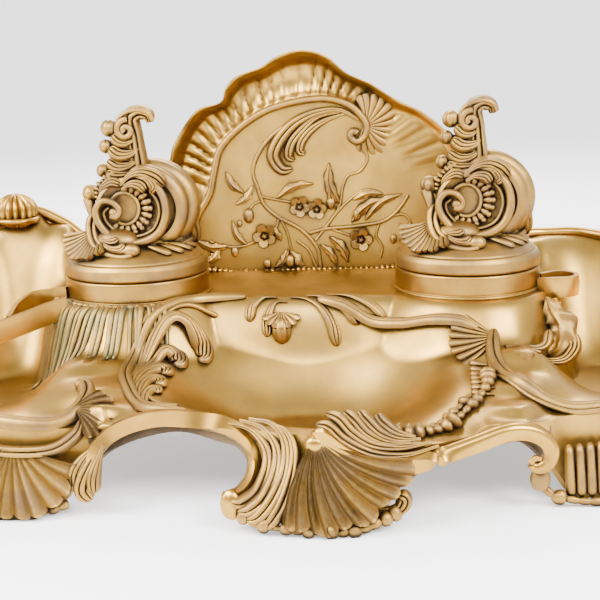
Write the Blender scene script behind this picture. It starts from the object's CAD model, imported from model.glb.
import math
import bpy
import numpy as np
from mathutils import Matrix, Vector


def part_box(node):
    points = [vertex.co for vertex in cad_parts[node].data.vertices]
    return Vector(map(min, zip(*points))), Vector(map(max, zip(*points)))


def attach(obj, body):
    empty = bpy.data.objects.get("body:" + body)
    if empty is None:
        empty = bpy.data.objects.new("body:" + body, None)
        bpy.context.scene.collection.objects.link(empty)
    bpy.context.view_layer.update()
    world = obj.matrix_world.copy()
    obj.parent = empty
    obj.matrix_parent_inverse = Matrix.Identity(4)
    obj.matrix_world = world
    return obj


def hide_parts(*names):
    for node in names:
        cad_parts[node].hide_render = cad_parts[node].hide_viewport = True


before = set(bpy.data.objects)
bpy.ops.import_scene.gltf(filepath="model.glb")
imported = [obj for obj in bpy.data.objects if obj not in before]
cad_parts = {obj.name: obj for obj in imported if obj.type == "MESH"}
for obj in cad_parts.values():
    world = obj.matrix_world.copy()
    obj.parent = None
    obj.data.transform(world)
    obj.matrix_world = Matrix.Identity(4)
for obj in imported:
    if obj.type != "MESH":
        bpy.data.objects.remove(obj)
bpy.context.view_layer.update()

MM = 0.001
TAU = 2 * math.pi

# ---------------------------------------------------------------- the stand's own measures, in millimetres


def box_mm(node):
    low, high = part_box(node)
    return np.array(low) / MM, np.array(high) / MM


collar_low, collar_high = box_mm("left_collar")
right_low, right_high = box_mm("right_collar")
WELL_X = (right_high[0] + right_low[0]) / 2
WELL_Y = (collar_low[1] + collar_high[1]) / 2
COLLAR_R = (collar_high[0] - collar_low[0]) / 2
SEAM_Z = collar_high[2]
PLATFORM_Z = SEAM_Z - 11
PLATE_FRONT_Y = box_mm("back_plate")[1][1] - 4
PLATE_BEND_R = 900
PLATE_SCREW_X = (-52, 0, 52)
PLATE_SCREW_Z = 58
WALL = 4
BORE_R = 30.5
POT_R = 28.0
MOUTH_R = 31.0

# Stations round the tray's rim, anticlockwise from the front left foot:
# [x, y, height of the rim, height of the skirt's lower edge, flare of the skirt].
STATIONS = np.array([
    [-113, -66, 34, 0, 9], [-97, -66, 34, 0, 8], [-86, -66, 34, 14, 5], [-74, -68, 36, 26, 2],
    [-50, -69, 40.5, 33, 1], [-32, -72, 39, 30, 1], [-20, -78, 37, 26, 2], [-8, -84, 37, 5, 9],
    [10, -87, 36, 0, 14.5], [28, -86, 34, 0, 10], [40, -85, 31, 14, 3], [60, -82, 31, 24, 1],
    [87, -76, 36, 29, 1], [101, -70, 35, 18, 2], [112, -63, 35, 0, 6], [130, -60, 36, 0, 8],
    [148, -55, 39, 26, 2], [166, -40, 46, 36, 1], [178, -16, 56, 44, 1], [184, 10, 66, 44, 1],
    [180, 40, 76, 38, 2], [168, 64, 82, 0, 12], [146, 85, 85, 0, 34.5], [128, 88, 85, 38, 6],
    [112, 86, 84, 46, 0.5], [84, 84, 74, 48, 0.5], [40, 90, 68, 48, 0.5], [0, 91, 68, 48, 0.5],
    [-40, 90, 68, 48, 0.5], [-84, 84, 76, 48, 0.5], [-112, 86, 86, 46, 0.5], [-128, 88, 97, 38, 6],
    [-146, 85, 104, 0, 34.5], [-168, 64, 98, 0, 12], [-180, 40, 84, 38, 2], [-184, 10, 68, 44, 1],
    [-178, -16, 56, 44, 1], [-166, -40, 46, 36, 1], [-148, -56, 38, 26, 2], [-130, -64, 35, 0, 8],
])
RIDGES = np.array([[-96, -12, 50], [-88, -38, 45], [-82, -58, 42], [98, -12, 52], [94, -40, 44],
                   [92, -62, 40]])
LAND = np.vstack([STATIONS[:, :3], RIDGES])
MIDDLE = np.array([0.0, 5.0])
DISHES = ((-142, 14, 46, 74, 27), (142, 14, 46, 72, 27), (4, -30, 70, 50, 20))   # centre, half sizes, floor

# ---------------------------------------------------------------- curves and fields


def smooth(a, b, v):
    t = np.clip((v - a) / (b - a), 0, 1)
    return t * t * (3 - 2 * t)


def mix(a, b, t):
    return a + (b - a) * t


def unit(v):
    return v / np.maximum(np.linalg.norm(v, axis=-1, keepdims=True), 1e-9)


def closed_curve(points, u):
    """A closed Catmull-Rom curve through points, at each u from 0 to 1."""
    p = np.asarray(points, float)
    n = len(p)
    i = np.floor(u * n).astype(int)
    t = (u * n - i)[:, None]
    a, b, c, d = p[(i - 1) % n], p[i % n], p[(i + 1) % n], p[(i + 2) % n]
    return 0.5 * (2 * b + (c - a) * t + (2 * a - 5 * b + 4 * c - d) * t**2 + (3 * b - a - 3 * c + d) * t**3)


def open_curve(points, n):
    """n points, evenly spaced along a Catmull-Rom curve through points."""
    p = np.asarray(points, float)
    p = np.vstack([2 * p[0] - p[1], p, 2 * p[-1] - p[-2]])
    out = []
    for i in range(1, len(p) - 2):
        t = np.linspace(0, 1, 40, endpoint=False)[:, None]
        a, b, c, d = p[i - 1], p[i], p[i + 1], p[i + 2]
        out.append(0.5 * (2 * b + (c - a) * t + (2 * a - 5 * b + 4 * c - d) * t**2
                          + (3 * b - a - 3 * c + d) * t**3))
    out.append(p[-2][None])
    q = np.vstack(out)
    s = np.concatenate([[0], np.cumsum(np.linalg.norm(np.diff(q, axis=0), axis=1))])
    even = np.linspace(0, s[-1], n)
    return np.stack([np.interp(even, s, q[:, k]) for k in range(q.shape[1])], 1)


def lumps(x, y, scale, seed=0):
    """A soft uneven field between -1 and 1, with hills about scale apart."""
    rng = np.random.default_rng(seed)
    total = 0
    for k in range(6):
        a = rng.uniform(0, TAU)
        f = TAU / scale * rng.uniform(0.6, 1.3)
        total = total + np.sin((x * math.cos(a) + y * math.sin(a)) * f + rng.uniform(0, TAU))
    return total / 3


def land_z(x, y):
    """The tray's general slope: nearby rim and ridge heights, weighted by closeness."""
    d2 = (x[..., None] - LAND[:, 0])**2 + (y[..., None] - LAND[:, 1])**2 + 0.01
    w = 1 / d2**2
    return (w * LAND[:, 2]).sum(-1) / w.sum(-1)


def on_platform(x, y):
    """1 on the platform that carries the two wells and the bridge between them, falling to 0 off it."""
    from_well = np.hypot(np.abs(x) - WELL_X, y - WELL_Y) - COLLAR_R - 4
    from_bridge = np.where(np.abs(x) < WELL_X, 22 - y, from_well)
    return 1 - smooth(0, 15, np.minimum(from_well, from_bridge))


def dished(z, x, y, cx, cy, half_w, half_d, floor):
    """Sinks an oval dish into height z."""
    away = np.hypot((x - cx) / half_w, (y - cy) / half_d)
    return mix(np.minimum(z, floor), z, smooth(0.3, 1, away))


def ground(x, y):
    """Height of the tray's upper face."""
    x, y = np.broadcast_arrays(np.asarray(x, float), np.asarray(y, float))
    z = land_z(x, y)
    for dish in DISHES:
        z = dished(z, x, y, *dish)
    return mix(z, PLATFORM_Z, on_platform(x, y))


def on_ground(points, lift=0.0):
    """Points [x, y] or [x, y, extra height] set on the tray's upper face."""
    p = np.asarray(points, float)
    extra = p[:, 2] if p.shape[1] > 2 else 0
    return np.column_stack([p[:, 0], p[:, 1], ground(p[:, 0], p[:, 1]) + extra + lift])


def on_plate(points, lift=0.0):
    """Points [x, z] or [x, z, how proud] set on the front of the back plate."""
    p = np.asarray(points, float)
    proud = p[:, 2] if p.shape[1] > 2 else 0
    return np.column_stack([p[:, 0], plate_y(p[:, 0], p[:, 1]) - proud - lift, p[:, 1]])


# ---------------------------------------------------------------- making meshes


def pick(*pieces):
    """Selects these pieces and nothing else; the first is the one worked on."""
    bpy.ops.object.select_all(action="DESELECT")
    for piece in pieces:
        piece.select_set(True)
    if pieces:
        bpy.context.view_layer.objects.active = pieces[0]


def shaped_grid(name, points):
    """A grid, as many squares each way as points asks for, with its vertices placed at points (mm)."""
    pick()
    rows, cols = points.shape[:2]
    bpy.ops.mesh.primitive_grid_add(x_subdivisions=cols - 1, y_subdivisions=rows - 1, size=1)
    piece = bpy.context.object
    piece.name = name
    points = np.array(points, float)
    points[..., 2] = np.maximum(points[..., 2], 0)   # nothing is cast below the desk it stands on
    piece.data.vertices.foreach_set("co", (points * MM).reshape(-1))
    piece.data.update()
    return piece


def close_up(piece, distance=0.00002):
    """Welds seams and poles shut and turns every face outwards."""
    pick(piece)
    bpy.ops.object.mode_set(mode="EDIT")
    bpy.ops.mesh.select_all(action="SELECT")
    bpy.ops.mesh.remove_doubles(threshold=distance)
    bpy.ops.mesh.dissolve_degenerate(threshold=distance / 4)
    bpy.ops.mesh.select_all(action="SELECT")
    bpy.ops.mesh.normals_make_consistent(inside=False)
    bpy.ops.object.mode_set(mode="OBJECT")
    return piece


def apply(piece, kind, **settings):
    """Adds one modifier, gives it its settings and applies it."""
    pick(piece)
    modifier = piece.modifiers.new(kind.title(), kind)
    for key, value in settings.items():
        setattr(modifier, key, value)
    bpy.ops.object.modifier_apply(modifier=modifier.name)
    return piece


def join(name, parts):
    """One casting out of several parts."""
    pick(*parts)
    bpy.ops.object.join()
    parts[0].name = name
    return parts[0]


def turned(name, profile, centre, steps=128):
    """A lathe-turned ring or bowl: profile is a closed outline [r, z], centre [x, y]."""
    a = np.linspace(0, TAU, steps + 1)
    profile = np.asarray(profile, float)
    points = np.zeros((steps + 1, len(profile), 3))
    points[..., 0] = centre[0] + np.cos(a)[:, None] * profile[:, 0]
    points[..., 1] = centre[1] + np.sin(a)[:, None] * profile[:, 0]
    points[..., 2] = profile[:, 1]
    return close_up(shaped_grid(name, points))


def frames_along(path, up):
    """Tangent, side and up directions along a path; up is a rough upward direction."""
    tangent = unit(np.gradient(path, axis=0))
    up = np.broadcast_to(np.asarray(up, float), path.shape)
    side = unit(np.cross(tangent, up))
    return tangent, side, np.cross(side, tangent)


def taper(n, start, end, shape=0.5):
    """1 along a strip, falling to 0 over its first and last stretches (fractions of its length)."""
    s = np.linspace(0, 1, n)
    a = np.clip(s / max(start, 1e-6), 0, 1)
    b = np.clip((1 - s) / max(end, 1e-6), 0, 1)
    return (np.sin(a * math.pi / 2) * np.sin(b * math.pi / 2))**shape


def swept(name, path, up, section, width, height=None, steps=None):
    """A moulding: section [side, up] carried along path, scaled by width and height at each step."""
    path = open_curve(path, steps or max(12, len(path) * 10))
    n = len(path)
    width = np.broadcast_to(width, n)
    height = width if height is None else np.broadcast_to(height, n)
    side, lift = frames_along(path, up if np.ndim(up) == 1 else open_curve(up, n))[1:]
    section = np.vstack([section, section[:1]])
    ring = (section[None, :, 0, None] * side[:, None] * width[:, None, None]
            + section[None, :, 1, None] * lift[:, None] * height[:, None, None])
    points = path[:, None] + ring
    points = np.concatenate([np.repeat(path[:1, None], len(section), 1), points,
                             np.repeat(path[-1:, None], len(section), 1)])
    return close_up(shaped_grid(name, points))


def round_section(sides=12):
    """A round rod's section."""
    a = np.linspace(0, TAU, sides, endpoint=False)
    return np.column_stack([np.cos(a), np.sin(a)])


def reeded_section(reeds, crown=0.5, sides=6):
    """A flat-backed band with round reeds side by side across its face."""
    t = np.linspace(-1, 1, reeds * sides + 1)
    bump = np.abs(np.sin((t + 1) / 2 * reeds * math.pi))**0.6
    face = np.column_stack([t, crown * np.sqrt(np.maximum(0, 1 - t**2)) * 0.6 + 0.4 * bump * (1 - t**6)])
    back = np.column_stack([np.linspace(1, -1, 5), np.full(5, -0.5)])
    return np.vstack([face[::-1], back[::-1]])


def strap_section(edge, middle):
    """A flat strap stood on edge, a little thicker in its middle."""
    return np.array([(-edge, -1), (edge, -1), (middle, 0), (edge, 1), (-edge, 1), (-middle, 0)])


def tube(name, path, up, radius, sides=12, steps=None):
    """A round rod; radius may be a list that runs along it."""
    return swept(name, path, up, round_section(sides), radius, steps=steps)


def lumpy_row(name, path, up, size, count, seed=0, uneven=0.35, flat=0.8, pinch=0.65):
    """A row of soft cast lumps or pearls run together along a path."""
    n = count * 8
    rng = np.random.default_rng(seed)
    s = np.linspace(0, count, n)
    which = np.minimum(s.astype(int), count - 1)
    scale = 1 + uneven * rng.uniform(-1, 1, count)[which]
    width = size * scale * (1 - pinch + pinch * np.abs(np.sin(s * math.pi))**0.7)
    return swept(name, path, up, round_section(10), width, width * flat, steps=n)


def reeded_band(name, path, up, width, height, reeds=3, start=0.15, end=0.15, steps=None):
    """A scroll band with parallel reeds, thinned at its ends."""
    steps = steps or max(30, len(path) * 12)
    thin = 0.15 + 0.85 * taper(steps, start, end)
    return swept(name, path, up, reeded_section(reeds), width * thin, height * thin, steps=steps)


def tongue(name, path, up, width, height, reeds=2, steps=40, full=0.75):
    """One fat lobe of acanthus: narrow at its root and rolled into a round end."""
    s = np.linspace(0, 1, steps)
    round_end = np.sqrt(np.maximum(1e-4, 1 - (np.clip(s - 0.82, 0, 1) / 0.185)**2))
    swell = (0.25 + 0.75 * smooth(0, full, s)) * round_end
    return swept(name, path, up, reeded_section(reeds, crown=0.9), width * swell,
                 height * (0.4 + 0.6 * s) * swell, steps=steps)


def leaf(name, path, up, width, lobes=4, crown=0.25, vein=0.1, thick=0.8, steps=48, across=17, lean=0.5):
    """A pointed leaf with a midrib, side veins and a lobed edge."""
    path = open_curve(path, steps)
    tangent, side, lift = frames_along(path, up)
    s = np.linspace(0, 1, steps)[:, None]
    t = np.linspace(-1, 1, across)[None]
    body = np.sin(math.pi * s**0.75)**0.75
    notch = 1 - 0.3 * np.abs(np.sin(math.pi * lobes * s)) * (lobes > 0)
    half = width * body * mix(1, notch, t**2)
    rise = width * (crown * (1 - t**2) + 0.16 * np.exp(-(t / 0.14)**2)
                    + vein * np.cos(TAU * (lobes * 1.0 * s + 0.9 * np.abs(t))) * np.abs(t)
                    * body) * (0.3 + 0.7 * body)
    forward = width * lean * np.abs(t) * body

    def at(level):
        return (path[:, None] + side[:, None] * (half * t)[..., None]
                + lift[:, None] * (rise + level)[..., None]
                + tangent[:, None] * forward[..., None])

    points = np.concatenate([at(0), at(-thick)[:, ::-1], at(0)[:, :1]], axis=1)
    return close_up(shaped_grid(name, points))


def fan(name, hub, out, across, radius, spread, ribs, swirl=0.0, cup=0.0, rib=0.8, scallop=0.06, thick=1.2,
        root=0.12, start=None, rings=34, ragged=0.0, seed=1):
    """A ribbed shell: ribs run from the hub to a scalloped edge and may swirl on the way."""
    hub, out, across = (np.asarray(v, float) for v in (hub, out, across))
    out, across = unit(out), unit(across)
    face = unit(np.cross(across, out))
    cols = ribs * 8 + 1
    f = np.linspace(0, 1, cols)[None]
    begin = -spread / 2 if start is None else start
    r = np.linspace(root, 1, rings)[:, None]
    wave = np.abs(np.sin(math.pi * ribs * f))
    rng = np.random.default_rng(seed)
    uneven = 1 + ragged * np.interp(f[0], np.linspace(0, 1, ribs + 1), rng.uniform(-1, 1, ribs + 1))[None]
    size = radius
    if np.ndim(radius):
        size = np.interp(f[0], np.linspace(0, 1, len(radius)), radius)[None]
    reach_r = size * uneven * (1 - scallop + scallop * wave**0.5) * r
    angle = begin + spread * f + swirl * r
    rise = cup * r**2 + rib * (wave**0.7 - 0.5) * r**0.8 * smooth(0, 0.2, r)
    flat = (hub + out * (np.cos(angle) * reach_r)[..., None]
            + across * (np.sin(angle) * reach_r)[..., None])

    def at(level):
        return flat + face * (rise + level)[..., None]

    top, under = at(0), at(-thick)
    wall = np.concatenate([top, under[:, ::-1], top[:, :1]], axis=1)
    closed_hub = np.repeat(wall[:1].mean(axis=1, keepdims=True), wall.shape[1], 1)
    edge = (top[-1] + under[-1]) / 2
    closed_edge = np.concatenate([edge, edge[::-1], edge[:1]])[None]
    return close_up(shaped_grid(name, np.concatenate([closed_hub, wall, closed_edge])))


def volute(centre, u, v, r_out, r_in, turns, start, steps=36):
    """Points of a shrinking spiral in the plane of u and v."""
    s = np.linspace(0, 1, steps)
    r = r_out * (r_in / r_out)**s
    a = start + TAU * turns * s
    return (np.asarray(centre, float) + np.asarray(u, float) * (np.cos(a) * r)[:, None]
            + np.asarray(v, float) * (np.sin(a) * r)[:, None])


def knob(name, centre, radius, stretch=(1, 1, 1), grooves=0, depth=0.12):
    """A cast button or bud, melon-grooved about its upright axis."""
    a = np.linspace(0, TAU, max(33, 8 * grooves + 1))[None]
    b = np.linspace(0, math.pi, 17)[:, None]
    r = radius * (1 - depth * (grooves > 0) * np.abs(np.cos(a * max(grooves, 1) / 2))**3 * np.sin(b))
    points = np.stack([np.sin(b) * np.cos(a) * r * stretch[0], np.sin(b) * np.sin(a) * r * stretch[1],
                       np.cos(b) * r * stretch[2]], -1)
    return close_up(shaped_grid(name, points + np.asarray(centre, float)))


def blossom(name, centre, right, up, radius, petals=5, turn=0.0, depth=1.6):
    """A small five-petalled flower with a button in its eye."""
    right, up = unit(np.asarray(right, float)), unit(np.asarray(up, float))
    face = unit(np.cross(right, up))
    a = np.linspace(0, TAU, petals * 12 + 1)[None]
    r = np.linspace(0, 1, 18)[:, None]
    petal = np.abs(np.cos((a + turn) * petals / 2))
    size = radius * (0.62 + 0.38 * petal**0.5) * r
    rise = depth * (0.35 + 0.75 * r**1.4 * (0.3 + 0.7 * petal**0.7) - 0.7 * smooth(0.9, 1.0, r)
                    + 0.9 * np.exp(-(r / 0.2)**4) - 0.25 * np.exp(-((r - 0.3) / 0.1)**2))
    top = (np.asarray(centre, float) + right * (np.cos(a) * size)[..., None]
           + up * (np.sin(a) * size)[..., None]
           + face * rise[..., None])
    under = (np.asarray(centre, float) + right * (np.cos(a) * size * 0.96)[..., None]
             + up * (np.sin(a) * size * 0.96)[..., None] - face * (0.6 + 0 * rise)[..., None])
    return close_up(shaped_grid(name, np.concatenate([top, under[::-1]])))


# ---------------------------------------------------------------- materials


def linear(code):
    """sRGB hex to the linear colour that a shader takes."""
    c = np.array([int(code[k:k + 2], 16) for k in (1, 3, 5)]) / 255
    return (*np.where(c <= 0.04045, c / 12.92, ((c + 0.055) / 1.055)**2.4), 1.0)


def node(tree, kind, settings=None, **links):
    """Adds a node; settings go on its properties or sockets, links join its sockets to others."""
    made = tree.nodes.new(kind)
    for key, value in (settings or {}).items():
        if isinstance(key, int) or key in made.inputs:
            made.inputs[key].default_value = value
        else:
            setattr(made, key, value)
    for key, source in links.items():
        name = key.replace("_", " ")
        target = made.inputs[int(key[1:])] if key[0] == "i" and key[1:].isdigit() else made.inputs[name]
        tree.links.new(source, target)
    return made


def ramp(tree, factor, stops):
    """A colour ramp on factor; a stop is a place with a grey level or a colour."""
    made = tree.nodes.new("ShaderNodeValToRGB")
    while len(made.color_ramp.elements) < len(stops):
        made.color_ramp.elements.new(0.5)
    for element, (place, colour) in zip(made.color_ramp.elements, stops):
        element.position = place
        element.color = linear(colour) if isinstance(colour, str) else (colour, colour, colour, 1)
    tree.links.new(factor, made.inputs[0])
    return made.outputs[0]


def gilt_bronze(name, bright, warm, patina, rough, rough_spread, patina_reach=4.0, patina_amount=1.0,
                grain=0.02, brush=0.0, verdigris=0.0, stain=0.3):
    """Mercury-gilt cast bronze: gold worn thin on the high places, brown-grey dirt left in the hollows.

    bright and warm are the gold where it is thick and thin, in clouds about 22 mm across. patina is the
    dirt, which reaches patina_reach mm out of a hollow and is mottled every 2 mm. stain is how far dull
    blotches about 13 mm across cover the gold. grain is the depth in mm of the casting's skin, or of the
    lathe's rings.
    """
    material = bpy.data.materials.new(name)
    material.use_nodes = True
    tree = material.node_tree
    tree.nodes.clear()
    place = node(tree, "ShaderNodeTexCoord").outputs["Object"]
    cloud = node(tree, "ShaderNodeTexNoise", {"Scale": 1 / (22 * MM), "Detail": 3.0},
                 Vector=place).outputs["Fac"]
    fine = node(tree, "ShaderNodeTexNoise", {"Scale": 1 / (2.2 * MM), "Detail": 4.0},
                Vector=place).outputs["Fac"]
    hollow = node(tree, "ShaderNodeAmbientOcclusion",
                  {"Distance": patina_reach * MM, "samples": 8}).outputs["AO"]
    curve = node(tree, "ShaderNodeNewGeometry").outputs["Pointiness"]
    gold = node(tree, "ShaderNodeMix", {"data_type": "RGBA"},
                i0=ramp(tree, cloud, [(0.35, 0.0), (0.65, 1.0)]))
    gold.inputs[6].default_value = linear(bright)
    gold.inputs[7].default_value = linear(warm)
    deep = ramp(tree, hollow, [(0.25, 1.0), (0.85, 0.0)])
    cut = ramp(tree, curve, [(0.42, 1.0), (0.5, 0.0)])
    both = node(tree, "ShaderNodeMath", {"operation": "MAXIMUM"}, i0=deep, i1=cut).outputs[0]
    mottled = node(tree, "ShaderNodeMath", {"operation": "MULTIPLY_ADD", 1: 1.2, 2: -0.35},
                   i0=fine).outputs[0]
    dirt = node(tree, "ShaderNodeMath", {"operation": "MULTIPLY_ADD", 1: 0.45}, i0=mottled, i2=both)
    dirt.use_clamp = True
    amount = node(tree, "ShaderNodeMath", {"operation": "MULTIPLY", 1: patina_amount}, i0=dirt.outputs[0])
    amount.use_clamp = True
    held = node(tree, "ShaderNodeMath", {"operation": "MULTIPLY"}, i0=amount.outputs[0], i1=ramp(
        tree, both, [(0.0, 0.12), (0.6, 1.0)])).outputs[0]
    colour = node(tree, "ShaderNodeMix", {"data_type": "RGBA"}, i0=held)
    tree.links.new(gold.outputs[2], colour.inputs[6])
    colour.inputs[7].default_value = linear(patina)
    drift = node(tree, "ShaderNodeTexNoise", {"Scale": 1 / (13 * MM), "Detail": 5.0, "Roughness": 0.65},
                 Vector=place).outputs["Fac"]
    stained = node(tree, "ShaderNodeMath", {"operation": "MULTIPLY", 1: stain},
                   i0=ramp(tree, drift, [(0.46, 0.0), (0.66, 1.0)])).outputs[0]
    tarnish = node(tree, "ShaderNodeMix", {"data_type": "RGBA"}, i0=stained)
    tree.links.new(colour.outputs[2], tarnish.inputs[6])
    tarnish.inputs[7].default_value = linear("#6E5A44")
    surface = tarnish.outputs[2]
    if verdigris:
        patches = node(tree, "ShaderNodeTexNoise", {"Scale": 1 / (9 * MM), "Detail": 3.0},
                       Vector=place).outputs["Fac"]
        where = node(tree, "ShaderNodeMath", {"operation": "MULTIPLY"},
                     i0=ramp(tree, patches, [(0.42, 0.0), (0.58, verdigris)]),
                     i1=ramp(tree, both, [(0.0, 0.25), (0.5, 1.0)])).outputs[0]
        green = node(tree, "ShaderNodeMix", {"data_type": "RGBA"}, i0=where)
        tree.links.new(surface, green.inputs[6])
        green.inputs[7].default_value = linear("#7F8A66")
        surface = green.outputs[2]
    dull = node(tree, "ShaderNodeMath", {"operation": "MULTIPLY_ADD", 1: rough_spread, 2: rough},
                i0=cloud).outputs[0]
    duller = node(tree, "ShaderNodeMath", {"operation": "MULTIPLY_ADD", 1: 0.3}, i0=held, i2=dull)
    duller.use_clamp = True
    height = fine
    if brush:
        stretch = node(tree, "ShaderNodeMapping", {"Scale": (1 / (14 * MM), 1 / (14 * MM), 1 / (0.5 * MM))},
                       Vector=place).outputs[0]
        height = node(tree, "ShaderNodeTexNoise", {"Scale": 1.0, "Detail": 3.0},
                      Vector=stretch).outputs["Fac"]
    bump = node(tree, "ShaderNodeBump", {"Strength": 0.5, "Distance": grain * MM}, Height=height).outputs[0]
    shader = node(tree, "ShaderNodeBsdfPrincipled", {"Metallic": 1.0}, Base_Color=surface,
                  Roughness=duller.outputs[0], Normal=bump)
    out = node(tree, "ShaderNodeOutputMaterial")
    tree.links.new(shader.outputs[0], out.inputs["Surface"])
    return material


def pressed_glass(name):
    """Clear pressed glass: faintly grey-green, with an ink stain low in the pot."""
    material = bpy.data.materials.new(name)
    material.use_nodes = True
    tree = material.node_tree
    tree.nodes.clear()
    place = node(tree, "ShaderNodeTexCoord").outputs["Object"]
    waves = node(tree, "ShaderNodeTexNoise", {"Scale": 1 / (12 * MM)}, Vector=place).outputs["Fac"]
    tint = ramp(tree, waves, [(0.3, "#E4ECE8"), (0.7, "#F2F6F3")])
    bump = node(tree, "ShaderNodeBump", {"Strength": 0.2, "Distance": 0.2 * MM}, Height=waves).outputs[0]
    shader = node(tree, "ShaderNodeBsdfPrincipled",
                  {"Transmission Weight": 1.0, "IOR": 1.5, "Roughness": 0.04}, Base_Color=tint, Normal=bump)
    out = node(tree, "ShaderNodeOutputMaterial")
    tree.links.new(shader.outputs[0], out.inputs["Surface"])
    return material


# agate-burnished sheet: broad clear reflections, brown only in the creases
BURNISHED = gilt_bronze("burnished_gilt_bronze", "#B28C3F", "#9A7731", "#46331A", 0.27, 0.14, 8.0, 1.0,
                        0.006, stain=0.22)
# chased and matted ornament: a softer gleam, with old dirt in every cut
CHASED = gilt_bronze("matt_chased_gilt_bronze", "#AD8740", "#8B6A35", "#2E2417", 0.36, 0.18, 6.0, 1.7, 0.06,
                     stain=0.6)
# mouldings that hands polish: the brightest gold on the stand
BAND = gilt_bronze("polished_gilt_band", "#BE923C", "#A47A32", "#45331A", 0.24, 0.12, 4.0, 0.9, 0.01,
                   stain=0.12)
# lathe-turned collars: fine rings that draw the highlights sideways
TURNED = gilt_bronze("turned_gilt_bronze", "#AF873A", "#8F6A2C", "#403018", 0.28, 0.12, 4.0, 0.9, 0.012,
                     brush=1.0, stain=0.35)
# neglected folds: dull, with green copper salts in patches
GREENED = gilt_bronze("weathered_gilt_bronze", "#A0803F", "#806534", "#383023", 0.4, 0.18, 4.0, 1.2, 0.05,
                      verdigris=0.55, stain=0.5)
# bronze as it left the sand, never gilt: dark and dull
RAW = gilt_bronze("raw_cast_bronze", "#6A5A42", "#57493A", "#2C261F", 0.5, 0.2, 6.0, 1.0, 0.08)
# plain brass screws, turned and left bare
SCREW = gilt_bronze("turned_brass_screws", "#98773A", "#7C6030", "#3C3015", 0.34, 0.12, 2.0, 0.8, 0.01)
GLASS = pressed_glass("pressed_glass")


def finish(piece, material, body, replaces=(), angle=60):
    """Smooths a piece, gives it its finish, and says what it rides on and stands for."""
    pick(piece)
    bpy.ops.object.shade_smooth_by_angle(angle=math.radians(angle))
    piece.data.materials.clear()
    piece.data.materials.append(material)
    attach(piece, body)
    if replaces:
        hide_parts(*replaces)
    return piece


# ---------------------------------------------------------------- the back plate

FRONT = np.array([0.0, -1.0, 0.0])
UP = np.array([0.0, 0.0, 1.0])
RIGHT = np.array([1.0, 0.0, 0.0])

# Outline seen from the front [x, z], anticlockwise from the lower left, scallop by scallop.
PLATE_OUTLINE = [
    (-66, 56), (-70, 76), (-73, 100), (-73, 118), (-69, 127), (-66, 137), (-59, 148), (-52, 155),
    (-41, 158), (-38, 165), (-32, 171), (-20, 175), (-12, 180), (-2, 183), (7, 182.5), (15, 179), (24, 171),
    (36, 165.5), (44, 160), (52, 155.5), (64, 149), (77, 137), (86, 118), (90, 96), (88, 74), (82, 56),
    (40, 53), (-20, 53),
]
BEAD = [(-60, 84), (-56, 98), (-49, 110), (-46, 122), (-42, 134), (-31, 145), (-17, 153), (-1, 157),
        (13, 158), (24, 155), (31, 149), (34, 143)]
PLATE_HUB = np.array([2.0, 106.0])
plate_edge = closed_curve(PLATE_OUTLINE, np.linspace(0, 1, 900, endpoint=False))
bead_line = open_curve(BEAD, 240)


def polar_radius(curve, angle, closed):
    """Distance from the plate's hub to a curve in each direction."""
    d = curve - PLATE_HUB
    a = np.arctan2(d[:, 1], d[:, 0])
    r = np.hypot(d[:, 0], d[:, 1])
    order = np.argsort(a)
    a, r = a[order], r[order]
    if closed:
        a = np.concatenate([a - TAU, a, a + TAU])
        r = np.concatenate([r, r, r])
    return np.interp(angle, a, r)


BEAD_FROM, BEAD_TO = math.atan2(37, 32), math.radians(198)


def plate_relief(x, z):
    """How far the front of the plate stands proud of its plain hollow sheet."""
    d = np.stack([x - PLATE_HUB[0], z - PLATE_HUB[1]], -1)
    a = np.arctan2(d[..., 1], d[..., 0])
    turned_a = np.mod(a + math.pi / 2, TAU) - math.pi / 2
    rho = np.hypot(d[..., 0], d[..., 1])
    edge = polar_radius(plate_edge, a, True)
    from_hub = bead_line - PLATE_HUB
    shifted = np.mod(np.arctan2(from_hub[:, 1], from_hub[:, 0]) + math.pi / 2, TAU)
    order = np.argsort(shifted)
    bead_r = np.hypot(from_hub[:, 0], from_hub[:, 1])
    bead = np.interp(turned_a + math.pi / 2, shifted[order], bead_r[order])
    fluted = smooth(BEAD_FROM - 0.25, BEAD_FROM + 0.1,
                    turned_a) * (1 - smooth(BEAD_TO - 0.02, BEAD_TO + 0.1, turned_a))
    q = np.clip((rho - bead) / np.maximum(edge - bead, 4), 0, 1)
    inside = smooth(0.02, 0.2, q)
    wobble = 0.12 * np.sin(5 * a) + 0.05 * np.sin(13 * a + 1)
    flute = np.abs(np.sin((a + wobble * 0.3 + 0.06 * q) * 30))**0.8
    strength = 0.5 + 0.5 * np.sin(9 * a + 2)
    cove = -3.2 * np.sin(math.pi * np.clip(q * 1.15, 0, 1))
    lip = 7.5 * smooth(0.7, 0.98, q) * (0.85 + 0.15 * np.sin(21 * a))
    carved = inside * (cove + (1.0 + 0.8 * strength) * (flute - 0.6) * (1 - smooth(0.75, 0.95, q)) + lip)
    out = rho / edge
    plain_lip = 3.0 * smooth(0.93, 0.995, out) * smooth(60, 90, z)
    wing = 0.8 * smooth(0.62, 0.78, out) * np.abs(np.sin(a * 24)) * (1 - smooth(0.9, 0.97, out))
    dish = 2.2 * smooth(0.0, 1.0, out)
    plain = dish + plain_lip + wing * smooth(110, 130, z) * smooth(25, 40, x)
    return mix(plain, carved, fluted * smooth(0, 0.02, q))


def plate_y(x, z):
    """The front face of the bowed back plate."""
    bend = PLATE_BEND_R - np.sqrt(PLATE_BEND_R**2 - x * x)
    return PLATE_FRONT_Y - bend - plate_relief(x, z)


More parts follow.
